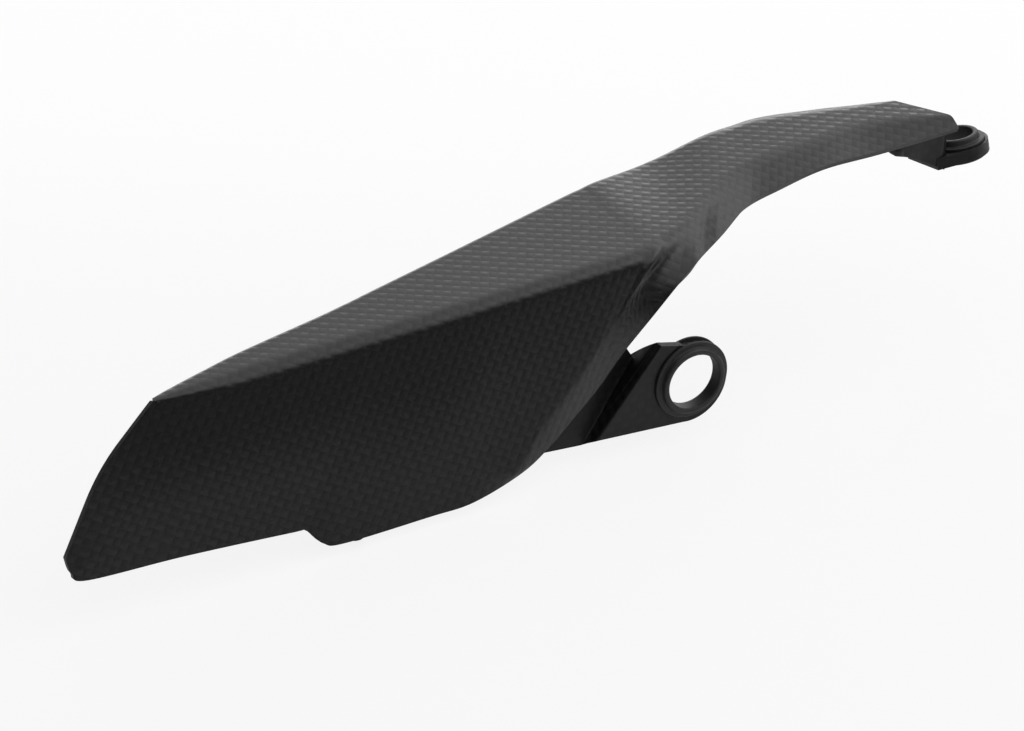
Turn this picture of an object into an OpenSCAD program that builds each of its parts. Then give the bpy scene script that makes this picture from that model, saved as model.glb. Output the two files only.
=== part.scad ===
// Motorcycle chain guard: a folded carbon laminate cover with a side eyelet and a tip eyelet.
// +X runs to the narrow tip, -Y is outboard, +Z is up. Millimetres.
// The origin is the middle of the lower eyelet's bore.

/* [Cover] */
// Length from the lower eyelet back to the upper end of the slanted rear edge
rear_reach = 129; // [110:1:150]
// Laminate thickness of the cover
wall = 1.6; // [1.2:0.1:2.2]
// Height of the main crease above the lower eyelet at the rear
crease_z = 29.3; // [27:0.1:32]
// How far inboard of the lower eyelet the main crease runs
crease_y = 6.4; // [5:0.1:8]
// Rise of the main crease from the rear to the corner above the lug
crease_rise = 1.9; // [1:0.1:3]
// How far the side panel leans inboard towards its top, in degrees
side_lean = 14.6; // [12:0.1:17]
// How far the top panel rises towards its inboard edge, in degrees
top_rise = 6.9; // [4:0.1:10]
// Outward crown of the side panel between its two edges
side_crown = 0.8; // [0:0.1:1.5]
// Width of the top panel above the lug
top_w = 30.6; // [26:0.1:34]
// Distance that the slanted rear edge runs back from the crease to its lower corner
rear_slant = 25; // [18:0.5:30]
// Depth of the low foot of the side panel below the lower eyelet
foot_z = 12.4; // [11.5:0.1:13.5]
// Bow of the slanted rear edge away from a straight line
rear_bow = 3; // [0:0.1:5]
// Height of the side panel's rear lower corner below the lower eyelet
rear_low_z = 3.7; // [2.5:0.1:4.5]
// Depth of the turned-down inboard lip along the top panel
lip_h = 4; // [2.5:0.5:6]
// Deepest drop of the inboard flap at the start of the tip arm
flap_h = 22; // [16:0.5:26]
// Size of the soft fold along the main crease
crease_fold = 3.2; // [2.4:0.1:4.5]
// Size of the fold between the top panel and its inboard lip
lip_fold = 2.4; // [2:0.1:3.2]
// Size of the soft fold that runs down to the foot
chine_fold = 2.6; // [2:0.1:3.2]

/* [Tip arm] */
// Height of the tip arm's ridge above the lower eyelet
arm_z = 34.2; // [33:0.1:36]
// Inboard place of the tip arm's ridge
arm_y = 30.8; // [28:0.1:33]
// Reach of the tip corner ahead of the lower eyelet
tip_reach = 88; // [82:0.5:94]

/* [Lower lug] */
// Thickness of the lug's plate
lug_t = 2; // [1.8:0.1:3]
// How far the plate's middle sits inboard of the middle of the bore
lug_set_in = 0.85; // [0:0.05:1.5]
// Radius of the lug's round end
lug_end_r = 9.7; // [9.2:0.1:11]
// Hole in the lug for the grommet
lug_hole_d = 16; // [15:0.1:17]

/* [Tip bracket] */
// Thickness of the bracket's web
web_t = 2; // [1.6:0.1:3]
// Thickness of the tip lug
tip_lug_t = 3; // [2.4:0.1:4]
// Radius of the tip lug's round end
tip_lug_r = 7.7; // [7.4:0.1:9]
// Hole in the tip lug for the grommet
tip_hole_d = 11.6; // [11:0.1:12.4]
// How far the tip eyelet stands ahead of the tip corner
tip_eye_ahead = 7.9; // [6:0.1:10]
// Place of the tip eyelet inboard of the lower eyelet
tip_eye_y = 31.6; // [30:0.1:34]
// Height of the middle of the tip eyelet's bore above the lower eyelet
tip_eye_z = 20.6; // [19:0.1:22]
// Lean of the tip eyelet's axis towards inboard, in degrees
tip_lean_y = 10.8; // [0:0.1:15]
// Lean of the tip eyelet's axis towards the rear, in degrees
tip_lean_x = 6; // [0:0.1:10]

/* [Grommets] */
// Bore of the lower grommet
low_bore_d = 13.4; // [12.4:0.1:13.8]
// Radius of the raised lip of the lower grommet
low_lip_r = 7.9; // [7.4:0.1:8.2]
// Outer radius of the lower grommet's flanges
low_flange_r = 9.5; // [9:0.1:9.8]
// Bore of the tip grommet
tip_bore_d = 8.4; // [7.4:0.1:9]
// Radius of the raised lip of the tip grommet
tip_lip_r = 5.4; // [5:0.1:5.8]
// Outer radius of the tip grommet's flanges
tip_flange_r = 7; // [6.6:0.1:7.4]
// How far the lower grommet's lip stands proud of its lug
low_lip_proud = 2; // [1.6:0.1:2.6]
// How far the tip grommet's lip stands proud of its lug
tip_lip_proud = 2.2; // [1.8:0.1:3]
// Thickness of a grommet's flange on the far side
grommet_back = 0.6; // [0.5:0.1:1.2]

/* [Foot stud] */
// Diameter of the small stud behind the foot
stud_d = 2.8; // [2.4:0.1:3.4]
// How far the stud stands below the foot's edge
stud_show = 2.2; // [1:0.1:3]

/* [Hidden] */
$fn = 64;
carbon = [0.16, 0.16, 0.17];
rubber = [0.08, 0.08, 0.08];
seat_gap = 0.3;
steps = 3;
low_bore_r = low_bore_d / 2;
tip_bore_r = tip_bore_d / 2;
tip_eye_x = tip_reach + tip_eye_ahead;

// Plane of the side panel: y at height z
function side_y(z) = crease_y + (z - crease_z) * tan(side_lean);
// Height of the crease at x, level along the cover but for its small rise
function ridge_z(x) = crease_z + crease_rise * (x + rear_reach) / rear_reach;
// One station of the body: lip bottom, inboard edge, crease, middle of the side, lower edge
function body_row(x, w, low_x, low_z, drop = lip_h, crown = side_crown, bow = 0, share = 0.5) =
    let (ridge = [x, crease_y, ridge_z(x)],
         inner = ridge + [0, w, w * tan(top_rise)],
         low = [low_x, side_y(low_z), low_z],
         mid = ridge + (low - ridge) * share)
    [inner + [0, 0.1 * drop, -drop], inner, ridge, mid + [-bow, -crown, 0], low];
// One station past the foot: as the body, with the fold at a given height and the rim beyond it
function chine_row(x, w, fold_x, fold_z, rim, drop = lip_h) =
    let (ridge = [x, crease_y, ridge_z(x)],
         inner = ridge + [0, w, w * tan(top_rise)])
    [inner + [0, 0.1 * drop, -drop], inner, ridge, [fold_x, side_y(fold_z), fold_z], rim];
// One station of the tip arm: inboard edge, ridge and rim
function arm_row(inner, ridge, rim, drop) =
    [inner + [0, 0.12 * drop, -drop], inner, ridge, (ridge + rim) / 2, rim];

// The stations were set out on a guard of these sizes, and stretch with the sizes above
set_rear = 129;
set_tip = 88;
set_top_w = 30.6;
set_foot = 12.4;
// Distance behind the lower eyelet, distance ahead of it, and width of the top panel
function back(x) = -x * rear_reach / set_rear;
function ahead(x) = x * tip_reach / set_tip;
function wide(w) = w * top_w / set_top_w;
function deep(z) = -z * foot_z / set_foot;

rear_x = -rear_reach;
corner_x = rear_x - rear_slant;
rows = [
    body_row(rear_x, wide(1.6), corner_x, 2, 1, side_crown, rear_bow),
    body_row(back(124), wide(3), corner_x + 0.8, -1.4, 1.6, side_crown, rear_bow / 2),
    body_row(back(115), wide(5.5), corner_x + 4, -rear_low_z, 3),
    body_row(back(105), wide(8), back(128), deep(4.8)),
    body_row(back(85), wide(11.8), back(103), deep(6.7)),
    body_row(back(78), wide(13.3), back(99.5), deep(7.2)),
    body_row(back(74), wide(14.2), back(96), 1.4 - foot_z),
    body_row(back(70), wide(15.2), back(91), -foot_z),
    body_row(back(52), wide(19.4), back(70), -foot_z, share = 0.62),
    body_row(back(38), wide(22.7), back(59), 0.2 - foot_z, crown = side_crown / 3, share = 0.84),
    chine_row(back(30), wide(24.6), back(48.5), deep(9.5), [back(46.1), -2.8, deep(9.7)]),
    chine_row(back(24), wide(26), back(41.5), -3.3, [back(37.7), -0.8, -6.7]),
    chine_row(back(18), wide(27.4), back(35.1), 1.8, [back(29.9), 1.4, -2.3]),
    chine_row(back(12), wide(28.8), back(28.3), 7.3, [back(22.6), 3.0, 2.8]),
    chine_row(back(8), wide(29.6), back(21.5), 14, [back(15.6), 4.1, 9.1]),
    chine_row(back(3.3), top_w, back(12.5), 23, [back(8.0), 3.8, 16.9])
];
arm_rows = [
    arm_row([ahead(13), arm_y + 9.8, arm_z - 0.1], [6, 12.6, arm_z - 2.2], [3.4, 5.3, 25.3], lip_h),
    arm_row([ahead(29.5), arm_y + 12.9, arm_z + 1.7], [ahead(20), arm_y - 9, arm_z - 1.2],
            [ahead(15.9), 12.9, 26.4], 5),
    arm_row([ahead(39), arm_y + 14.8, arm_z + 1.8], [ahead(32), arm_y - 3.6, arm_z - 0.5],
            [ahead(28.1), 20.2, 27.8], 13),
    arm_row([ahead(47), arm_y + 15.4, arm_z + 1.9], [ahead(43), arm_y - 2, arm_z - 0.2],
            [ahead(39.3), arm_y - 8.2, arm_z - 5.3], flap_h),
    arm_row([ahead(58), arm_y + 13.6, arm_z + 1.6], [ahead(55), arm_y - 1, arm_z],
            [ahead(52), arm_y - 6.6, arm_z - 4.3], flap_h - 6),
    arm_row([ahead(70), arm_y + 10.4, arm_z + 1.1], [ahead(69), arm_y - 0.4, arm_z],
            [ahead(68), arm_y - 6.4, arm_z - 4.5], 8),
    arm_row([ahead(79.4), arm_y + 6.6, arm_z + 0.7], [tip_reach, arm_y - 5.2, arm_z - 0.6],
            [tip_reach + 1, arm_y - 8.2, arm_z - 3], 2.8)
];

// Curve through the stations: uniform cubic through four neighbours
function cubic(a, b, c, d, t) =
    b + 0.5 * t * ((c - a) + t * ((2 * a - 5 * b + 4 * c - d) + t * (3 * (b - c) + d - a)));
all_rows = concat(rows, arm_rows);
last = len(all_rows) - 1;
function row_at(i) = all_rows[min(max(i, 0), last)];
loft = [for (i = [0 : last - 1]) for (k = [0 : (i == last - 1 ? steps : steps - 1)])
    cubic(row_at(i - 1), row_at(i), row_at(i + 1), row_at(i + 2), k / steps)];

// Rounded corner at b between a and c: a quadratic curve that starts and ends "size" away from b, or less on a short
// leg; a leg that ends at a rim can be used up to "reach"
function fold(a, b, c, size, n, reach = 0.45) =
    let (s = min(size, norm(a - b) * reach, norm(c - b) * 0.45),
         p = b + (a - b) / norm(a - b) * s, q = b + (c - b) / norm(c - b) * s)
    [for (k = [0 : n]) let (t = k / n) (1 - t) * (1 - t) * p + 2 * t * (1 - t) * b + t * t * q];
function section(r) = concat(
    [r[0]],
    fold(r[0], r[1], r[2], lip_fold, 4, 0.9),
    fold(r[1], r[2], r[3], crease_fold, 5),
    fold(r[2], r[3], r[4], chine_fold, 4),
    [r[4]]);
outer = [for (r = loft) section(r)];
n_row = len(outer);
n_col = len(outer[0]);

// Inner face: each point moved in by the wall along the surface's own normal, and by less where the top panel runs out
function unit(v) = v / max(norm(v), 0.0001);
function normal_at(i, j) =
    let (along = outer[min(i + 1, n_row - 1)][j] - outer[max(i - 1, 0)][j],
         across = outer[i][min(j + 1, n_col - 1)] - outer[i][max(j - 1, 0)])
    unit(cross(across, along));
function wall_at(i) = min(wall, 0.3 * norm(loft[i][1] - loft[i][2]));
inner = [for (i = [0 : n_row - 1]) [for (j = [0 : n_col - 1]) outer[i][j] - wall_at(i) * normal_at(i, j)]];

// A closed laminate between two grids of points: the face seen from outside, and the face behind it
module laminate(face, rear) {
    rows = len(face);
    cols = len(face[0]);
    half = rows * cols;
    function at(i, j) = i * cols + j;
    skin = [for (i = [0 : rows - 2]) for (j = [0 : cols - 2]) each [
        [at(i, j), at(i + 1, j + 1), at(i, j + 1)],
        [at(i, j), at(i + 1, j), at(i + 1, j + 1)]]];
    back = [for (f = skin) [f[0] + half, f[2] + half, f[1] + half]];
    loop = concat(
        [for (j = [0 : cols - 2]) at(0, j)],
        [for (i = [0 : rows - 2]) at(i, cols - 1)],
        [for (j = [cols - 1 : -1 : 1]) at(rows - 1, j)],
        [for (i = [rows - 1 : -1 : 1]) at(i, 0)]);
    edge = [for (k = [0 : len(loop) - 1])
        let (a = loop[k], b = loop[(k + 1) % len(loop)]) each [
        [a, b, a + half], [b, b + half, a + half]]];
    polyhedron(
        concat([for (r = face) each r], [for (r = rear) each r]),
        concat(skin, back, edge), convexity = 10);
}

module cover_shell() {
    color(carbon) laminate(outer, inner);
}

// The lug's flange leans with the side panel behind it, then turns out to the upright plate
flange_gap = wall / cos(side_lean) + 0.65 + seat_gap;
flange_t = 1.6;
lug_front = lug_set_in - lug_t / 2;
// The flange starts inside the plate, this far past its edge and below its faces
root_in = 1.5;
root_skin = 0.05;
bend_low = [-24.4, -9.1];
bend_high = [-8, 10.7];
tuck_low = [-27.6, -10.6];
tuck_high = [-11.3, 5.4];
hide_low = [-42, -8.4];
hide_high = [-18, 17];
// How much deeper than the side panel's own back the flange runs, at the tuck and at its hidden end
tuck_in = 3.7;
hide_in = 1.9;
function mix(a, b, t) = a + (b - a) * t;
function ease(t) = t * t * (3 - 2 * t);

module lug_flange() {
    n_u = 10;
    n_v = 6;
    bend = 0.55;
    root = [root_in, 0];
    function spot(u, v) = u < bend
        ? mix(mix(bend_low, bend_high, v) + root, mix(tuck_low, tuck_high, v), u / bend)
        : mix(mix(tuck_low, tuck_high, v), mix(hide_low, hide_high, v), (u - bend) / (1 - bend));
    function inset(u) = mix(tuck_in, hide_in, max(u - bend, 0) / (1 - bend));
    function depth(u, v) =
        mix(lug_front + root_skin, side_y(spot(u, v)[1]) + flange_gap + inset(u), ease(min(u / bend, 1)));
    front = [for (i = [0 : n_u]) [for (j = [0 : n_v])
        let (p = spot(i / n_u, j / n_v)) [p[0], depth(i / n_u, j / n_v), p[1]]]];
    function thick(u) = mix(lug_t - 2 * root_skin, flange_t, ease(min(u / bend, 1)));
    rear = [for (i = [0 : n_u]) [for (j = [0 : n_v]) front[i][j] + [0, thick(i / n_u), 0]]];
    laminate(front, rear);
}

module lower_lug() {
    end_x = 0;
    end_z = -1.4;
    color(carbon) {
        translate([0, lug_set_in, 0]) rotate([90, 0, 0]) difference() {
            union() {
                translate([end_x, end_z, 0]) cylinder(h = lug_t, r = lug_end_r, center = true);
                linear_extrude(lug_t, center = true) polygon([
                    bend_low, [-2, end_z - lug_end_r], [end_x, end_z - lug_end_r], [end_x, end_z],
                    [2, end_z + lug_end_r - 0.3], bend_high]);
            }
            cylinder(h = lug_t + 2, d = lug_hole_d, center = true);
        }
        lug_flange();
    }
}

// A rubber grommet about the Z axis, clipped in a plate of thickness t centred on the origin
module grommet(bore_r, lip_r, flange_r, hole_r, t, lip_h) {
    flange_h = 0.7;
    back_h = grommet_back;
    flare = 1.2;
    rotate_extrude() polygon([
        [bore_r, -t / 2 + 0.6],
        [bore_r + flare, -t / 2 - back_h],
        [flange_r - 0.4, -t / 2 - back_h],
        [flange_r, -t / 2 - back_h + 0.4],
        [flange_r, -t / 2],
        [hole_r, -t / 2],
        [hole_r, t / 2],
        [flange_r, t / 2],
        [flange_r, t / 2 + flange_h - 0.4],
        [flange_r - 0.3, t / 2 + flange_h],
        [lip_r + 0.4, t / 2 + flange_h],
        [lip_r + 0.3, t / 2 + lip_h - 0.3],
        [lip_r, t / 2 + lip_h],
        [bore_r + 0.7, t / 2 + lip_h - 0.2],
        [bore_r, t / 2 + lip_h - 0.9]]);
}

module lower_grommet() {
    color(rubber) rotate([90, 0, 0]) translate([0, 0, -lug_set_in])
        grommet(low_bore_r, low_lip_r, low_flange_r, lug_hole_d / 2, lug_t, low_lip_proud);
}

module at_tip_eye() {
    translate([tip_eye_x, tip_eye_y, tip_eye_z]) rotate([-tip_lean_y, -tip_lean_x, 0]) children();
}

// A web glued under the tip arm by a narrow flange, with the flat lug at its free end
module tip_bracket() {
    web_y = arm_y - 3.3;
    web_top = arm_z - 5.6;
    web_start = tip_reach - 16;
    web_end = tip_eye_x - tip_flange_r + 0.3;
    web_low = tip_eye_z - tip_lug_t;
    flange_w = 7.5;
    flange_h = 1.5;
    lug_back = -tip_lug_r - 2;
    lug_side = tip_lug_r - 0.2;
    color(carbon) {
        translate([0, web_y, 0]) rotate([90, 0, 0]) linear_extrude(web_t, center = true)
            polygon([
                [web_start, web_top + 0.5], [web_start + 0.5, web_top - 4.3],
                [web_end, web_low], [web_end, web_top + 0.5]]);
        translate([0, web_y, web_top]) rotate([top_rise, 0, 0]) linear_extrude(flange_h)
            polygon([
                [web_start + 1, 0], [tip_reach - 2, 0],
                [tip_reach - 7, flange_w], [web_start + 1, flange_w]]);
        difference() {
            at_tip_eye() union() {
                cylinder(h = tip_lug_t, r = tip_lug_r, center = true);
                linear_extrude(tip_lug_t, center = true) polygon([
                    [lug_back, -lug_side + 2], [1, -lug_side + 0.4],
                    [1, lug_side], [lug_back, lug_side]]);
            }
            at_tip_eye() cylinder(h = tip_lug_t + 2, d = tip_hole_d, center = true);
        }
    }
}

module tip_grommet() {
    color(rubber) at_tip_eye()
        grommet(tip_bore_r, tip_lip_r, tip_flange_r, tip_hole_d / 2, tip_lug_t, tip_lip_proud);
}

module foot_stud() {
    stud_x = -86.4;
    stud_y = side_y(-foot_z) + (wall + stud_d / 2) / cos(side_lean) + seat_gap;
    color(rubber) translate([stud_x, stud_y, -foot_z - stud_show]) rotate([-side_lean, 0, 0])
        cylinder(h = 6, d = stud_d);
}

cover_shell();
lower_lug();
tip_bracket();
lower_grommet();
tip_grommet();
foot_stud();
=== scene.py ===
# Motorcycle chain guard: a folded carbon cover, its lug and tip bracket, two rubber grommets and a stud.
# +X runs to the narrow tip, -Y is outboard, +Z is up. Metres in Blender; the sizes below are millimetres.
import math

import bpy
import numpy as np
from mathutils import Matrix, Vector


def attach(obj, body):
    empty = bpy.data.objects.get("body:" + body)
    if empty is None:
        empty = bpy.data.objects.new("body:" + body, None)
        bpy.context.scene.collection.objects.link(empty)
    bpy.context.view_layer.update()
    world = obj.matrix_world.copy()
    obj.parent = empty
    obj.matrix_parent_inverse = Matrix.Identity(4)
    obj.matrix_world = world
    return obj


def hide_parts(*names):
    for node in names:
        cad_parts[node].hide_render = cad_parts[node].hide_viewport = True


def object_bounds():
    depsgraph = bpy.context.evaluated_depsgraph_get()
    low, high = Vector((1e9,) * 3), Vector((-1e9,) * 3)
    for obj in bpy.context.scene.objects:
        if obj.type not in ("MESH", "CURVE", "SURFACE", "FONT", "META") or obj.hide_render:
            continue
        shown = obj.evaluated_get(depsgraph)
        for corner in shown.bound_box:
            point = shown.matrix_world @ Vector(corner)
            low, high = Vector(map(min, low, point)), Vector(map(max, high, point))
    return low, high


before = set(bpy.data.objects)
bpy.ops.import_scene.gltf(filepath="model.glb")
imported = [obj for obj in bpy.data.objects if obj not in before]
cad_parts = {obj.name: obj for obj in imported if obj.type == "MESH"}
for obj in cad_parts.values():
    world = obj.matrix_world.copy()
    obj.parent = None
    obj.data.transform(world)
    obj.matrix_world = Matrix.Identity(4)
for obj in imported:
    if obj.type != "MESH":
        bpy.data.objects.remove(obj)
cad_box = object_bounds()

# The cover
# One laminate of plain-weave carbon cloth, laid in a mould under a satin clear coat and trimmed round its
# rim. The side panel folds over to the top panel along a soft crease, and both narrow into the arm that
# ends at the tip.
mm = 0.001
wall = 1.6
rear_reach = 129.0
crease_z = 29.3
crease_y = 6.4
crease_rise = 1.9
side_lean = math.tan(math.radians(14.6))
top_rise = math.tan(math.radians(6.9))
side_crown = 0.8
foot_z = 12.4
lip_h = 4.0
flap_h = 22.0
lip_fold = 1.4
crease_fold = 3.2
arm_z = 34.2
arm_y = 30.8
tip_reach = 88.0
cloth_turn = math.radians(31)
tow = 2.0


def side_y(z):
    """y of the side panel's plane at height z: it leans inboard as it rises to the crease."""
    return crease_y + (z - crease_z) * side_lean


def top_line(x, width, drop):
    """Lip bottom, inboard edge and crease at x: the crease climbs evenly, and from it the top panel rises
    inboard by its slope."""
    ridge = np.array([x, crease_y, crease_z + crease_rise * (x + rear_reach) / rear_reach])
    inner = ridge + [0, width, width * top_rise]
    return [inner + [0, 0.1 * drop, -drop], inner, ridge]


def body_station(x, width, low_x, low_z, drop=lip_h, crown=side_crown, bow=0.0, share=0.5):
    """Five points across the cover: the top line, a point at a share of the way down the side, pushed out
    by its crown and back by its bow, and the lower edge."""
    line = top_line(x, width, drop)
    low = np.array([low_x, side_y(low_z), low_z])
    return line + [line[2] + (low - line[2]) * share + [-bow, -crown, 0], low]


def chine_station(x, width, fold, rim):
    """Five points past the foot: the top line, the chine where the side panel ends, and the rim of the
    narrow facet beyond it."""
    return top_line(x, width, lip_h) + [np.array(fold), np.array(rim)]


def arm_station(inner, ridge, rim, drop):
    """Five points across the arm: the lip drops from the inboard edge, and the outboard facet runs from
    the ridge by its middle to the rim."""
    inner, ridge, rim = np.array(inner), np.array(ridge), np.array(rim)
    return [inner + [0, 0.12 * drop, -drop], inner, ridge, (ridge + rim) / 2, rim]


stations = np.array([
    body_station(-129, 0.9, -154, 2, 0.4, bow=4.4, share=0.4),
    body_station(-124, 3, -153.2, -1.4, 1.6, bow=2.2, share=0.45),
    body_station(-115, 5.5, -150, -3.7, 3),
    body_station(-105, 8, -128, -4.8),
    body_station(-85, 11.8, -103, -6.7),
    body_station(-78, 13.3, -99.5, -7.2),
    body_station(-74, 14.2, -96, -foot_z + 1.4),
    body_station(-70, 15.2, -91, -foot_z),
    body_station(-52, 19.4, -70, -foot_z, share=0.62),
    body_station(-38, 22.7, -59, -foot_z + 0.2, crown=side_crown / 3, share=0.84),
    chine_station(-30, 24.6, [-48.5, -3.71, -9.5], [-46.2, -3.0, -9.6]),
    chine_station(-24, 26, [-41.5, -2.09, -3.3], [-38.2, -1.5, -6.2]),
    chine_station(-18, 27.4, [-35.1, -0.76, 1.8], [-30.6, 0.2, -1.5]),
    chine_station(-12, 28.8, [-28.3, 0.67, 7.3], [-23.3, 1.6, 3.6]),
    chine_station(-8, 29.6, [-21.5, 2.41, 14], [-16.2, 2.8, 9.9]),
    chine_station(-3.3, 30.6, [-12.5, 4.6, 23], [-8.4, 2.7, 17.4]),
    arm_station([13, 40.6, arm_z - 0.1], [6, 12.6, arm_z - 2.2], [2.7, 4.1, 26.1], lip_h),
    arm_station([29.5, 43.7, arm_z + 1.7], [20, 21.8, arm_z - 1.2], [15.2, 11.6, 27.2], 5),
    arm_station([39, 45.6, arm_z + 1.85], [32, 27.2, arm_z - 0.5], [27.2, 18.7, 28.8], 13),
    arm_station([47, 46.2, arm_z + 2.0], [43, arm_y - 2, arm_z - 0.2], [38.4, 21.1, 29.9], flap_h),
    arm_station([58, 44.4, arm_z + 1.7], [55, arm_y - 1, arm_z], [51.2, 22.9, 30.8], flap_h - 6),
    arm_station([70, 41.2, arm_z + 1.2], [69, arm_y - 0.4, arm_z], [67.3, 23.3, 30.5], 8),
    arm_station(
        [79.4, 37.4, arm_z + 0.7], [tip_reach + 0.6, 25.2, arm_z - 0.5], [tip_reach + 0.7, 22.0, 31.6], 2.8
    ),
])
# Sizes of the three folds at each station: the bow over the whole rear panel closes to the tighter chine,
# and along the arm the crease opens into a broad round and the inboard edge rolls over
side_corner = np.array([40.0] * 8 + [14.0, 6.0, 4.0, 4.0, 4.0] + [5.0] * 10)
crease_corner = np.array([crease_fold] * 14 + [3.6, 4.5] + [8.0] * 7)
lip_corner = np.array([lip_fold] * 17 + [3.0, 4.5, 5.0, 5.0, 4.0, lip_fold])
# Points across the cover: lip, its fold, top panel, crease, side panel, chine and facet
lip_cols, edge_cols, top_cols, crease_cols, side_cols, chine_cols, facet_cols = 5, 9, 14, 13, 12, 15, 8
edge_end = 1 + lip_cols + edge_cols
crease_middle = edge_end + top_cols + crease_cols // 2
span_steps = 12


def smooth_through(points, steps):
    """Curve through the stations: on each span a cubic whose end slopes are half the step between the
    neighbours."""
    p = np.concatenate([points[:1], points, points[-1:]])
    a, b, c, d = p[:-3], p[1:-2], p[2:-1], p[3:]
    t = (np.arange(steps) / steps).reshape((1, steps) + (1,) * (points.ndim - 1))
    a, b, c, d = a[:, None], b[:, None], c[:, None], d[:, None]
    spans = b + 0.5 * t * ((c - a) + t * ((2 * a - 5 * b + 4 * c - d) + t * (3 * (b - c) + d - a)))
    return np.concatenate([spans.reshape((-1,) + points.shape[1:]), points[-1:]])


def soft_corner(a, b, c, size, n, reach_a=0.45, reach_c=0.45):
    """A quadratic curve from the leg b-a to the leg b-c that starts and ends at the given size from the
    corner b, or less where a leg is short: each leg can be used up to its own reach."""
    to_a, to_c = a - b, c - b
    len_a = np.linalg.norm(to_a, axis=-1, keepdims=True)
    len_c = np.linalg.norm(to_c, axis=-1, keepdims=True)
    leg = np.minimum(size, np.minimum(reach_a * len_a, reach_c * len_c))
    p, q = b + to_a / len_a * leg, b + to_c / len_c * leg
    t = np.linspace(0, 1, n)[None, :, None]
    return (1 - t) ** 2 * p[:, None] + 2 * t * (1 - t) * b[:, None] + t ** 2 * q[:, None]


def between(p, q, n):
    """n evenly spaced points on the straight line from p to q, without its ends."""
    t = (np.arange(n) + 1)[None, :, None] / (n + 1)
    return p[:, None] + (q - p)[:, None] * t


def cover_face():
    """Outer face of the cover: the five-point stations made smooth lengthwise, with their corners rounded
    crosswise and evenly spaced points on the straight lines between the corners."""
    rows = smooth_through(stations, span_steps)
    lip_end, edge, ridge, fold, rim = (rows[:, k] for k in range(5))
    place = np.arange(len(rows)) / span_steps
    side_size, crease_size, lip_size = (
        np.interp(place, np.arange(len(sizes)), sizes)[:, None]
        for sizes in (side_corner, crease_corner, lip_corner)
    )
    inboard = soft_corner(lip_end, edge, ridge, lip_size, edge_cols, 0.9, 0.45)
    crease = soft_corner(edge, ridge, fold, crease_size, crease_cols, 0.45, 0.55)
    chine = soft_corner(ridge, fold, rim, side_size, chine_cols, 0.4, 0.85)
    return np.concatenate([
        lip_end[:, None], between(lip_end, inboard[:, 0], lip_cols), inboard,
        between(inboard[:, -1], crease[:, 0], top_cols), crease,
        between(crease[:, -1], chine[:, 0], side_cols), chine,
        between(chine[:, -1], rim, facet_cols), rim[:, None],
    ], axis=1)


def cloth_places(face):
    """Where each point lies on the flat cloth, in tows: the top panel is laid flat by its own x and y,
    and from the middle of the crease outboard each step keeps its length and its angle to the crease. The
    lip hangs on the inboard edge by its length. Then the cloth is turned on the guard by its angle."""
    across = np.gradient(face, axis=1)
    along = np.gradient(face, axis=0)
    normal = np.cross(across, along)
    normal /= np.maximum(np.linalg.norm(normal, axis=-1, keepdims=True), 1e-9)
    ridge = np.gradient(face[:, crease_middle], axis=0)
    ridge_flat = ridge[:, :2] / np.linalg.norm(ridge[:, :2], axis=-1, keepdims=True)
    side_flat = np.stack([ridge_flat[:, 1], -ridge_flat[:, 0]], axis=-1)
    flat = np.stack([face[..., 0], (face[..., 1] - crease_y) * math.hypot(1, top_rise)], axis=-1)
    n = (normal[:, crease_middle + 1:] + normal[:, crease_middle:-1]) / 2
    step = np.diff(face[:, crease_middle:], axis=1)
    tangent = ridge[:, None] - (ridge[:, None] * n).sum(-1, keepdims=True) * n
    tangent /= np.linalg.norm(tangent, axis=-1, keepdims=True)
    cross = np.cross(tangent, n)
    forward = (step * tangent).sum(-1, keepdims=True)
    sideways = (step * cross).sum(-1, keepdims=True)
    moved = np.cumsum(forward * ridge_flat[:, None] + sideways * side_flat[:, None], axis=1)
    flat[:, crease_middle + 1:] = flat[:, crease_middle:crease_middle + 1] + moved
    drop = np.cumsum(np.linalg.norm(np.diff(face[:, edge_end::-1], axis=1), axis=-1), axis=1)
    flat[:, :edge_end, 0] = face[:, :edge_end, 0]
    flat[:, :edge_end, 1] = flat[:, edge_end:edge_end + 1, 1] + drop[:, ::-1]
    s, t = flat[..., 0], flat[..., 1]
    turn_c, turn_s = math.cos(cloth_turn), math.sin(cloth_turn)
    return np.stack([s * turn_c - t * turn_s, -s * turn_s - t * turn_c], axis=-1) / tow


def grid_faces(rows, cols, wrap_rows=False, wrap_cols=False):
    """Four-cornered faces of a grid, turned so that the way along a row, crossed with the way down a
    column, points out of the surface."""
    i = np.arange(rows if wrap_rows else rows - 1)[:, None]
    j = np.arange(cols if wrap_cols else cols - 1)[None, :]
    i2, j2 = (i + 1) % rows, (j + 1) % cols
    return np.stack([i * cols + j, i * cols + j2, i2 * cols + j2, i2 * cols + j], axis=-1).reshape(-1, 4)


def make_piece(name, points, faces, places):
    """A smooth mesh object from points in millimetres, four-cornered faces, and cloth places kept as the
    UV map."""
    mesh = bpy.data.meshes.new(name)
    mesh.from_pydata((points.reshape(-1, 3) * mm).tolist(), [], faces.tolist())
    layer = mesh.uv_layers.new(name="tows")
    corner = np.zeros(len(mesh.loops), np.int32)
    mesh.loops.foreach_get("vertex_index", corner)
    layer.data.foreach_set("uv", places.reshape(-1, 2)[corner].astype(np.float32).ravel())
    mesh.polygons.foreach_set("use_smooth", np.ones(len(mesh.polygons), bool))
    piece = bpy.data.objects.new(name, mesh)
    bpy.context.scene.collection.objects.link(piece)
    return piece


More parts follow.
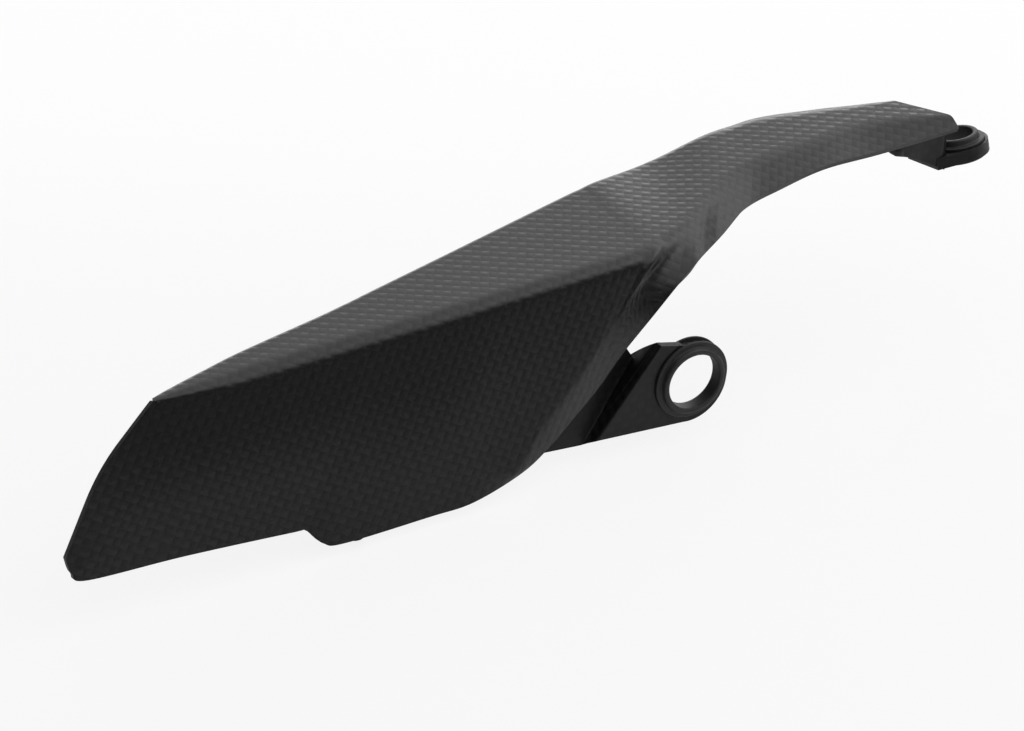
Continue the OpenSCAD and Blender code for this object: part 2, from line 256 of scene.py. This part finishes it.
def carbon_cloth(name, dark, light, roughness, coat, coat_roughness, relief):
    """Plain-weave carbon on the UV map in tows: a draughtboard of crowned tows, each the sine of its own
    width, with fine fibres along it. Warp squares take the dark colour and weft squares the light one, a
    painted sheen for the different gloss of the two tow directions, and each tow is painted darker towards
    its edges and ends where its crown dips, a painted shade. The way their gloss is stretched also turns
    by a right angle from one to the other."""
    material = bpy.data.materials.new(name)
    material.use_nodes = True
    nodes, links = material.node_tree.nodes, material.node_tree.links
    shader = nodes["Principled BSDF"]
    cloth = nodes.new("ShaderNodeUVMap")
    cloth.uv_map = "tows"
    # Half a square up, so that no point lies just between two layers of the board
    lift = nodes.new("ShaderNodeVectorMath")
    lift.inputs[1].default_value = (0, 0, 0.5)
    links.new(cloth.outputs["UV"], lift.inputs[0])
    board = nodes.new("ShaderNodeTexChecker")
    board.inputs["Scale"].default_value = 1
    links.new(lift.outputs["Vector"], board.inputs["Vector"])
    over = board.outputs[1]
    split = nodes.new("ShaderNodeSeparateXYZ")
    links.new(cloth.outputs["UV"], split.inputs["Vector"])

    def maths(operation, a, b=None):
        node = nodes.new("ShaderNodeMath")
        node.operation = operation
        for socket, value in zip(node.inputs, (a, b)):
            if isinstance(value, (int, float)):
                socket.default_value = value
            elif value is not None:
                links.new(value, socket)
        return node.outputs["Value"]

    def choose(kind, a, b):
        node = nodes.new("ShaderNodeMix")
        node.data_type = kind
        place = {"FLOAT": (2, 3, 0), "VECTOR": (4, 5, 1), "RGBA": (6, 7, 2)}[kind]
        links.new(over, node.inputs[0])
        for slot, value in zip(place[:2], (a, b)):
            if isinstance(value, tuple):
                node.inputs[slot].default_value = value
            else:
                links.new(value, node.inputs[slot])
        return node.outputs[place[2]]

    crowns = []
    for axis in ("X", "Y"):
        wave = maths("SINE", maths("MULTIPLY", split.outputs[axis], math.pi))
        crowns.append(maths("ABSOLUTE", wave))
    u_crown, v_crown = crowns
    warp = maths("MULTIPLY", u_crown, maths("ADD", maths("MULTIPLY", v_crown, 0.5), 0.5))
    weft = maths("MULTIPLY", v_crown, maths("ADD", maths("MULTIPLY", u_crown, 0.5), 0.5))
    crown = choose("FLOAT", warp, weft)

    streaks = []
    for scale in ((14, 0.5, 1), (0.5, 14, 1)):
        stretch = nodes.new("ShaderNodeMapping")
        stretch.inputs["Scale"].default_value = scale
        links.new(cloth.outputs["UV"], stretch.inputs["Vector"])
        fibres = nodes.new("ShaderNodeTexNoise")
        fibres.inputs["Scale"].default_value = 1
        fibres.inputs["Detail"].default_value = 2
        links.new(stretch.outputs["Vector"], fibres.inputs["Vector"])
        streaks.append(fibres.outputs[0])
    fibre = choose("FLOAT", streaks[0], streaks[1])

    # Painted sheen: the dark and light colours of warp and weft squares stand in for the different gloss
    # of the two tow directions
    shade = choose("RGBA", dark + (1,), light + (1,))
    # Painted shade: the colour is multiplied darker where each tow's crown dips at its edges and ends, and
    # varied by the fibre grain
    dip_shade_and_grain = maths("ADD", maths("MULTIPLY", crown, 0.45), maths("ADD", maths("MULTIPLY", fibre, 0.6), 0.25))
    sheen_and_shade_tone = nodes.new("ShaderNodeMix")
    sheen_and_shade_tone.data_type = "RGBA"
    sheen_and_shade_tone.blend_type = "MULTIPLY"
    sheen_and_shade_tone.inputs[0].default_value = 1
    links.new(shade, sheen_and_shade_tone.inputs[6])
    grey = nodes.new("ShaderNodeCombineColor")
    for channel in ("Red", "Green", "Blue"):
        links.new(dip_shade_and_grain, grey.inputs[channel])
    links.new(grey.outputs[0], sheen_and_shade_tone.inputs[7])
    links.new(sheen_and_shade_tone.outputs[2], shader.inputs["Base Color"])

    height = maths("ADD", crown, maths("MULTIPLY", fibre, 0.12))
    bump = nodes.new("ShaderNodeBump")
    bump.inputs["Strength"].default_value = relief
    bump.inputs["Distance"].default_value = 0.0002
    links.new(height, bump.inputs["Height"])
    links.new(bump.outputs["Normal"], shader.inputs["Normal"])

    tangent = nodes.new("ShaderNodeTangent")
    tangent.direction_type = "UV_MAP"
    tangent.uv_map = "tows"
    geometry = nodes.new("ShaderNodeNewGeometry")
    crosswise = nodes.new("ShaderNodeVectorMath")
    crosswise.operation = "CROSS_PRODUCT"
    links.new(geometry.outputs["Normal"], crosswise.inputs[0])
    links.new(tangent.outputs["Tangent"], crosswise.inputs[1])
    fibre_way = choose("VECTOR", crosswise.outputs["Vector"], tangent.outputs["Tangent"])
    links.new(fibre_way, shader.inputs["Tangent"])
    shader.inputs["Anisotropic"].default_value = 0.6
    shader.inputs["Specular IOR Level"].default_value = 0.33
    shader.inputs["Roughness"].default_value = roughness
    shader.inputs["Coat Weight"].default_value = coat
    shader.inputs["Coat Roughness"].default_value = coat_roughness
    return material


# Each cloth's dark and light colours are the painted sheen of its warp and weft squares
carbon_face = carbon_cloth(
    "satin_carbon", dark=(0.002, 0.002, 0.0022), light=(0.010, 0.010, 0.0105),
    roughness=0.35, coat=0.65, coat_roughness=0.28, relief=0.45,
)
carbon_back = carbon_cloth(
    "bare_carbon", dark=(0.01, 0.01, 0.011), light=(0.022, 0.022, 0.023),
    roughness=0.55, coat=0.0, coat_roughness=0.3, relief=0.8,
)
carbon_moulded = carbon_cloth(
    "moulded_carbon", dark=(0.007, 0.007, 0.007), light=(0.01, 0.01, 0.01),
    roughness=0.45, coat=0.15, coat_roughness=0.3, relief=0.06,
)

carbon_edge = bpy.data.materials.new("trimmed_laminate")
carbon_edge.use_nodes = True
edge_nodes, edge_links = carbon_edge.node_tree.nodes, carbon_edge.node_tree.links
edge_shader = edge_nodes["Principled BSDF"]
edge_shader.inputs["Roughness"].default_value = 0.5
edge_place = edge_nodes.new("ShaderNodeTexCoord")
edge_grain = edge_nodes.new("ShaderNodeTexNoise")
edge_grain.inputs["Scale"].default_value = 2200
edge_grain.inputs["Detail"].default_value = 2
edge_tone = edge_nodes.new("ShaderNodeValToRGB")
edge_tone.color_ramp.elements[0].color = (0.008, 0.008, 0.008, 1)
edge_tone.color_ramp.elements[1].color = (0.03, 0.03, 0.031, 1)
edge_links.new(edge_place.outputs["Object"], edge_grain.inputs["Vector"])
edge_links.new(edge_grain.outputs[0], edge_tone.inputs[0])
edge_links.new(edge_tone.outputs["Color"], edge_shader.inputs["Base Color"])

face = cover_face()
cover = make_piece("cover", face, grid_faces(*face.shape[:2]), cloth_places(face))
cover.data.materials.append(carbon_face)
cover.data.materials.append(carbon_back)
cover.data.materials.append(carbon_edge)
thickness = cover.modifiers.new("wall", "SOLIDIFY")
thickness.thickness = wall * mm
thickness.offset = -1
thickness.material_offset = 1
thickness.material_offset_rim = 2
trim = cover.modifiers.new("trimmed_rim", "BEVEL")
trim.width = 0.3 * mm
trim.segments = 2
trim.limit_method = "ANGLE"
trim.angle_limit = math.radians(50)
trim.harden_normals = True
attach(cover, "root")
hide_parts("cover_shell")

# The lower lug
# A moulded carbon plate with a hole for the lower grommet. Its flange turns in behind the side panel,
# where it is bonded to the cover's inner face, and the turn is a concave bend.
lug_t = 2.0
lug_set_in = 0.85
flange_t = 1.6
bond_line = 0.3
flange_clear = 0.65
flange_gap = wall * math.hypot(1, side_lean) + flange_clear + bond_line
lug_hole_r = 8.0
lug_end_r = 9.7
lug_end = np.array([0.0, -1.4])
bend_line = np.array([[-24.4, -9.1], [-8.0, 10.7]])
tuck_line = np.array([[-27.6, -10.6], [-11.3, 5.4]])
hide_line = np.array([[-42.0, -8.4], [-18.0, 17.0]])
tuck_in = 3.7
hide_in = 1.9
cloth_slant = 0.55
plate_cols = 24
line_rows = 40
bend_steps = 16
flange_steps = 8


def plate_rings(hole_r, outline, rings):
    """Rings that grow from the hole to the outline: each outline point is joined to the hole at its own
    bearing."""
    angle = np.arctan2(outline[:, 1], outline[:, 0])
    hole = hole_r * np.stack([np.cos(angle), np.sin(angle)], axis=-1)
    s = np.linspace(0, 1, rings)[:, None, None]
    return hole[None] * (1 - s) + outline[None] * s


def closed_plate(front, rear, quads):
    """Points and faces of a closed plate: the front, the rear turned over, and a strip round every free
    edge."""
    edges = np.concatenate([quads[:, [k, (k + 1) % 4]] for k in range(4)])
    n = len(front)
    free = edges[~np.isin(edges[:, 0] * n + edges[:, 1], edges[:, 1] * n + edges[:, 0])]
    rim = np.stack([free[:, 1], free[:, 0], free[:, 0] + n, free[:, 1] + n], axis=-1)
    return np.concatenate([front, rear]), np.concatenate([quads, quads[:, ::-1] + n, rim])


def round_edges(piece, size):
    """A narrow rounding of the sharp edges."""
    rounding = piece.modifiers.new("moulded_edge", "BEVEL")
    rounding.width = size * mm
    rounding.segments = 3
    rounding.limit_method = "ANGLE"
    rounding.angle_limit = math.radians(50)
    rounding.harden_normals = True


def on_line(line, share):
    """x and z at a share of the way up a line that is given by its two ends."""
    return line[0, 0] * (1 - share) + line[1, 0] * share, line[0, 1] * (1 - share) + line[1, 1] * share


up_line = np.linspace(0, 1, line_rows)[:, None]
end_angle = np.radians(np.linspace(76, -100, 70))
round_end = lug_end + lug_end_r * np.stack([np.cos(end_angle), np.sin(end_angle)], axis=-1)
lug_outline = np.concatenate([
    bend_line[0] * (1 - up_line) + bend_line[1] * up_line,
    (bend_line[1] * (1 - up_line) + round_end[0] * up_line)[2:-1:2],
    round_end,
    (round_end[-1] * (1 - up_line) + bend_line[0] * up_line)[2:-1:2],
])
lug_plan = plate_rings(lug_hole_r, lug_outline, plate_cols)
plate_y = np.full(lug_plan.shape[:2], lug_set_in - lug_t / 2)
plate_front = np.stack([lug_plan[..., 0], plate_y, lug_plan[..., 1]], axis=-1)

# The bend runs from the bend line to the tuck line, and the flange from there to the hide line
bend_x, bend_z = on_line(bend_line, up_line.T)
tuck_x, tuck_z = on_line(tuck_line, up_line.T)
hide_x, hide_z = on_line(hide_line, up_line.T)
t = np.linspace(0, 1, bend_steps + 1)[1:, None]
turned_in = t * t * (3 - 2 * t)
wall_x = bend_x * (1 - t) + tuck_x * t
wall_z = bend_z * (1 - turned_in) + tuck_z * turned_in
wall_y = (lug_set_in - lug_t / 2) * (1 - turned_in) + (side_y(wall_z) + flange_gap + tuck_in) * turned_in
s = np.linspace(0, 1, flange_steps + 1)[1:, None]
flange_x = tuck_x * (1 - s) + hide_x * s
flange_z = tuck_z * (1 - s) + hide_z * s
flange_y = side_y(flange_z) + flange_gap + tuck_in * (1 - s) + hide_in * s
turn_front = np.concatenate([
    np.stack([wall_x, wall_y, wall_z], axis=-1),
    np.stack([flange_x, flange_y, flange_z], axis=-1),
])
turn_thick = np.concatenate([
    lug_t * (1 - turned_in) + flange_t * turned_in,
    np.full((flange_steps, 1), flange_t),
])
plate_quads = grid_faces(plate_cols, len(lug_outline), wrap_cols=True)
turn_rows = bend_steps + flange_steps
turn_index = np.concatenate([
    (plate_cols - 1) * len(lug_outline) + np.arange(line_rows)[None],
    plate_front[..., 0].size + np.arange(turn_rows * line_rows).reshape(turn_rows, line_rows),
])
turn_quads = turn_index.ravel()[grid_faces(turn_rows + 1, line_rows)]
lug_front = np.concatenate([plate_front.reshape(-1, 3), turn_front.reshape(-1, 3)])
lug_thick = np.concatenate([np.full(plate_y.size, lug_t), np.repeat(turn_thick[:, 0], line_rows)])[:, None]
lug_points, lug_faces = closed_plate(
    lug_front, lug_front + lug_thick * [0, 1, 0], np.concatenate([plate_quads, turn_quads])
)
lug_places = np.stack([lug_points[:, 0] - cloth_slant * lug_points[:, 1], lug_points[:, 2]], axis=-1) / tow
lug = make_piece("lug_plate", lug_points, lug_faces, lug_places)
lug.data.materials.append(carbon_moulded)
round_edges(lug, 0.45)
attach(lug, "root")
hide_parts("lower_lug")

# The tip bracket
# A moulded carbon bracket under the arm: a web that hangs from a narrow bonded flange, with a small pad
# at its start, and at its free end the lug that holds the tip grommet.
web_y = 26.5
web_t = 2.0
tip_lug_t = 3.0
tip_lug_r = 7.7
tip_hole_r = 5.8
web_top = 29.1
web_bottom = np.array([
    [71.6, 27.9], [72.4, 26.9], [73.7, 26.0], [75, 25.6],
    [78.1, 24.4], [84.1, 21.1], [87.2, 19.4], [89.4, 17.9],
])
web_cols = 60
web_rows = 20
web_x = np.linspace(web_bottom[-1, 0], web_bottom[0, 0], web_cols)[:, None]
edge_z = np.interp(web_x, web_bottom[:, 0], web_bottom[:, 1])
web_z = edge_z + (web_top - edge_z) * np.linspace(0, 1, web_rows)
# The pad is a flat-topped bump, the web is hollow from it to the lug, and its end curls inboard
pad_x, pad_up, pad_proud = 74.6, 0.9, 0.45
hollow_x, hollow_reach, hollow_in = 76.0, 12.0, 0.5
curl_x = 87.4
pad = np.exp(-((web_x - pad_x) / 1.3) ** 4 - ((web_z - edge_z - pad_up) / 1.1) ** 4)
hollow_share = np.clip((web_x - hollow_x) / hollow_reach, 0, 1)
hollow = np.sin(hollow_share * math.pi) ** 2 * np.clip((29 - web_z) / 6, 0, 1)
front_y = web_y - pad_proud * pad + hollow_in * hollow + 0.25 * np.clip(web_x - curl_x, 0, 2) ** 2
web_front = np.stack([web_x + 0 * web_z, front_y, web_z], axis=-1).reshape(-1, 3)
web_rear = np.stack([web_x + 0 * web_z, web_y + web_t + 0 * web_z, web_z], axis=-1).reshape(-1, 3)
web_points, web_faces = closed_plate(web_front, web_rear, grid_faces(web_cols, web_rows))

# The bonded flange lies along the arm's inner face, rises inboard with it and narrows as it goes
bond_start = np.array([73.0, 27.5, 30.1])
bond_reach = 7.5
bond_t = 1.5
bond_wide, bond_narrow = 13.0, 8.0
bond_rows, bond_cols = 6, 8
bond_in = np.linspace(0, bond_reach, bond_rows)[:, None]
bond_width = bond_wide - (bond_wide - bond_narrow) * bond_in / bond_reach
bond_along = bond_width * np.linspace(0, 1, bond_cols)
bond_top = np.stack([bond_along, bond_in + 0 * bond_along, bond_in * top_rise + 0 * bond_along], axis=-1)
bond_top = (bond_start + bond_top).reshape(-1, 3)
bond_quads = grid_faces(bond_rows, bond_cols)
bond_points, bond_faces = closed_plate(bond_top, bond_top - [0, 0, bond_t], bond_quads)

tip_place = (
    Matrix.Translation(Vector((95.9, 31.6, 20.6)))
    @ Matrix.Rotation(math.radians(-6.0), 4, "Y")
    @ Matrix.Rotation(math.radians(-10.8), 4, "X")
)
round_tip = tip_lug_r * np.stack([np.cos(end_angle), np.sin(end_angle)], axis=-1)
tip_back = np.array([[-9.6, -5.4], [-9.6, 7.3]])
tip_outline = np.concatenate([
    tip_back[0] * (1 - up_line) + tip_back[1] * up_line,
    (tip_back[1] * (1 - up_line) + round_tip[0] * up_line)[2:-1:2],
    round_tip,
    (round_tip[-1] * (1 - up_line) + tip_back[0] * up_line)[2:-1:2],
])
tip_rings = 10
tip_plan = plate_rings(tip_hole_r, tip_outline, tip_rings)
tip_height = np.full(tip_plan.shape[:2], tip_lug_t / 2)
tip_top = np.stack([tip_plan[..., 0], tip_plan[..., 1], tip_height], axis=-1).reshape(-1, 3)
tip_quads = grid_faces(tip_rings, len(tip_outline), wrap_cols=True)
eye_points, eye_faces = closed_plate(tip_top, tip_top - [0, 0, tip_lug_t], tip_quads)
eye_points = eye_points @ np.array(tip_place)[:3, :3].T + np.array(tip_place)[:3, 3]

bracket_points = np.concatenate([web_points, bond_points, eye_points])
bracket_faces = np.concatenate([
    web_faces, bond_faces + len(web_points), eye_faces + len(web_points) + len(bond_points)
])
bracket = make_piece("bracket", bracket_points, bracket_faces, bracket_points[:, [0, 2]] / tow)
bracket.data.materials.append(carbon_moulded)
round_edges(bracket, 0.4)
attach(bracket, "root")
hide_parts("tip_bracket")

# The grommets
# Moulded black rubber rings. Each is clipped through its lug by a groove round its middle, with a raised
# lip outside and a thin flange behind.
grommet_back = 0.6
flange_h = 0.7
flare = 1.2
ring_steps = 128


def grommet_profile(bore_r, lip_r, flange_r, hole_r, t, proud):
    """Cross-section of a grommet as (radius, height): bore, its flare, back flange, groove for the lug,
    front flange and raised lip, with every corner rounded by a quadratic curve."""
    low, high, top = -t / 2 - grommet_back, t / 2 + flange_h, t / 2 + proud
    corners = np.array([
        [bore_r, -t / 2 + 0.6], [bore_r + flare, low], [flange_r, low], [flange_r, -t / 2],
        [hole_r, -t / 2], [hole_r, t / 2], [flange_r, t / 2], [flange_r, high],
        [lip_r + 0.35, high], [lip_r + 0.1, top], [bore_r, top],
    ])
    sizes = [0.4, 0.3, 0.3, 0.15, 0.1, 0.1, 0.15, 0.35, 0.3, 0.5, 0.8]
    before, after = np.roll(corners, 1, axis=0), np.roll(corners, -1, axis=0)
    return soft_corner(before, corners, after, np.array(sizes)[:, None], 6).reshape(-1, 2)


def turned(name, profile, place):
    """A closed profile turned round its own axis, then set by a 4x4 placing matrix in millimetres."""
    angle = np.linspace(0, 2 * math.pi, ring_steps, endpoint=False)[:, None]
    radius, height = profile[None, :, 0], profile[None, :, 1]
    ring = np.stack([radius * np.cos(angle), radius * np.sin(angle), height + 0 * angle], axis=-1)
    ring = ring @ np.array(place)[:3, :3].T + np.array(place)[:3, 3]
    places = np.stack(np.broadcast_arrays(angle, height), axis=-1)
    return make_piece(name, ring, grid_faces(ring_steps, len(profile), True, True)[:, ::-1], places)


rubber = bpy.data.materials.new("moulded_rubber")
rubber.use_nodes = True
rubber_nodes, rubber_links = rubber.node_tree.nodes, rubber.node_tree.links
rubber_shader = rubber_nodes["Principled BSDF"]
rubber_shader.inputs["Roughness"].default_value = 0.5
rubber_place = rubber_nodes.new("ShaderNodeTexCoord")
rubber_grain = rubber_nodes.new("ShaderNodeTexNoise")
rubber_grain.inputs["Scale"].default_value = 900
rubber_grain.inputs["Detail"].default_value = 4
rubber_tone = rubber_nodes.new("ShaderNodeValToRGB")
rubber_tone.color_ramp.elements[0].color = (0.012, 0.012, 0.012, 1)
rubber_tone.color_ramp.elements[1].color = (0.032, 0.032, 0.032, 1)
rubber_bump = rubber_nodes.new("ShaderNodeBump")
rubber_bump.inputs["Strength"].default_value = 0.25
rubber_bump.inputs["Distance"].default_value = 0.0001
rubber_links.new(rubber_place.outputs["Object"], rubber_grain.inputs["Vector"])
rubber_links.new(rubber_grain.outputs[0], rubber_tone.inputs[0])
rubber_links.new(rubber_tone.outputs["Color"], rubber_shader.inputs["Base Color"])
rubber_links.new(rubber_grain.outputs[0], rubber_bump.inputs["Height"])
rubber_links.new(rubber_bump.outputs["Normal"], rubber_shader.inputs["Normal"])

low_place = Matrix.Rotation(math.radians(90), 4, "X") @ Matrix.Translation(Vector((0, 0, -lug_set_in)))
lower_ring = turned("lower_ring", grommet_profile(6.7, 7.9, 9.5, lug_hole_r, lug_t, 2.0), low_place)
tip_ring = turned("tip_ring", grommet_profile(4.2, 5.4, 7.0, tip_hole_r, tip_lug_t, 2.2), tip_place)
for ring, node in ((lower_ring, "lower_grommet"), (tip_ring, "tip_grommet")):
    ring.data.materials.append(rubber)
    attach(ring, "root")
    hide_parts(node)

# The foot stud
# A small round rubber stop, moulded and bonded behind the low foot of the side panel. Its form is the
# solid's own, and it takes the grommets' rubber.
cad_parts["foot_stud"].data.materials.clear()
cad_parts["foot_stud"].data.materials.append(rubber)

# The studio
# A sheet of white board that ends a quarter of a metre in front of the guard, a dark room beyond it for
# what the glossy coat mirrors, and soft lamps. What the camera sees past the sheet is white, and most of
# the board's white is its own, the same all over, so that it stays even.
floor_z = cad_box[0][2] - 0.0001
floor_side, floor_front, floor_back = 2.5, -0.26, 4.0
floor_mesh = bpy.data.meshes.new("floor")
floor_mesh.from_pydata(
    [
        (-floor_side, floor_front, floor_z), (floor_side, floor_front, floor_z),
        (floor_side, floor_back, floor_z), (-floor_side, floor_back, floor_z),
    ],
    [],
    [(0, 1, 2, 3)],
)
floor = bpy.data.objects.new("floor", floor_mesh)
bpy.context.scene.collection.objects.link(floor)
board_white = bpy.data.materials.new("board_white")
board_white.use_nodes = True
board_nodes, board_links = board_white.node_tree.nodes, board_white.node_tree.links
board_shader = board_nodes["Principled BSDF"]
board_shader.inputs["Base Color"].default_value = (0.93, 0.93, 0.93, 1)
board_shader.inputs["Roughness"].default_value = 0.15
board_ray = board_nodes.new("ShaderNodeLightPath")
board_share = board_nodes.new("ShaderNodeMath")
board_share.operation = "MULTIPLY"
board_share.inputs[1].default_value = 0.85
board_glow = board_nodes.new("ShaderNodeEmission")
board_mix = board_nodes.new("ShaderNodeMixShader")
board_links.new(board_ray.outputs["Is Camera Ray"], board_share.inputs[0])
board_links.new(board_share.outputs["Value"], board_mix.inputs[0])
board_links.new(board_shader.outputs["BSDF"], board_mix.inputs[1])
board_links.new(board_glow.outputs["Emission"], board_mix.inputs[2])
board_links.new(board_mix.outputs["Shader"], board_nodes["Material Output"].inputs["Surface"])
floor.data.materials.append(board_white)

world = bpy.data.worlds.new("studio")
world.use_nodes = True
world_nodes, world_links = world.node_tree.nodes, world.node_tree.links
world_ray = world_nodes.new("ShaderNodeLightPath")
room = world_nodes.new("ShaderNodeMapRange")
room.inputs["To Min"].default_value = 0.05
room.inputs["To Max"].default_value = 1
world_links.new(world_ray.outputs["Is Camera Ray"], room.inputs["Value"])
world_links.new(room.outputs["Result"], world_nodes["Background"].inputs["Strength"])
world_nodes["Background"].inputs["Color"].default_value = (1, 1, 1, 1)
bpy.context.scene.world = world

guard_middle = Vector((-0.03, 0.01, 0.01))


def soft_lamp(name, direction, distance, width, height, level):
    """A rectangular lamp that faces the guard from a direction and a distance. Its level is its
    brightness, so its watts are pi times its area times the level."""
    light = bpy.data.lights.new(name, "AREA")
    light.shape = "RECTANGLE"
    light.size = width
    light.size_y = height
    light.energy = math.pi * width * height * level
    lamp = bpy.data.objects.new(name, light)
    back = Vector(direction).normalized()
    lamp.location = guard_middle + back * distance
    lamp.rotation_mode = "QUATERNION"
    lamp.rotation_quaternion = (-back).to_track_quat("-Z", "Y")
    lamp.visible_camera = False
    bpy.context.scene.collection.objects.link(lamp)


# Each lamp's direction, distance, width, height and level, in metres
soft_lamp("back_panel", (0.434, 0.606, 0.665), 2.2, 2.4, 1.6, 0.3)
soft_lamp("low_panel", (0.5, 0.82, 0.27), 2.2, 2.6, 0.8, 2.6)
soft_lamp("top_lamp", (0.3, -0.17, 0.94), 1.2, 2.8, 2.0, 0.9)
soft_lamp("end_lamp", (0.84, -0.28, 0.47), 1.5, 1.5, 1.4, 0.8)

# The camera
# It stands outboard of the guard and to its rear, about 30 degrees up, with a long lens.
camera_place = Vector((-0.3876, -0.5882, 0.4110))
camera_data = bpy.data.cameras.new("camera")
camera_data.sensor_width = 36
camera_data.lens = 126.56
camera = bpy.data.objects.new("camera", camera_data)
right = Vector((0.86515, -0.50151, 0))
up = Vector((0.25151, 0.43388, 0.86515))
forward = Vector((0.43388, 0.74848, -0.50151))
turn = Matrix((right, up, -forward)).transposed().to_4x4()
camera.matrix_world = Matrix.Translation(camera_place) @ turn
bpy.context.scene.collection.objects.link(camera)
bpy.context.scene.camera = camera

bpy.context.scene.view_settings.view_transform = "Standard"
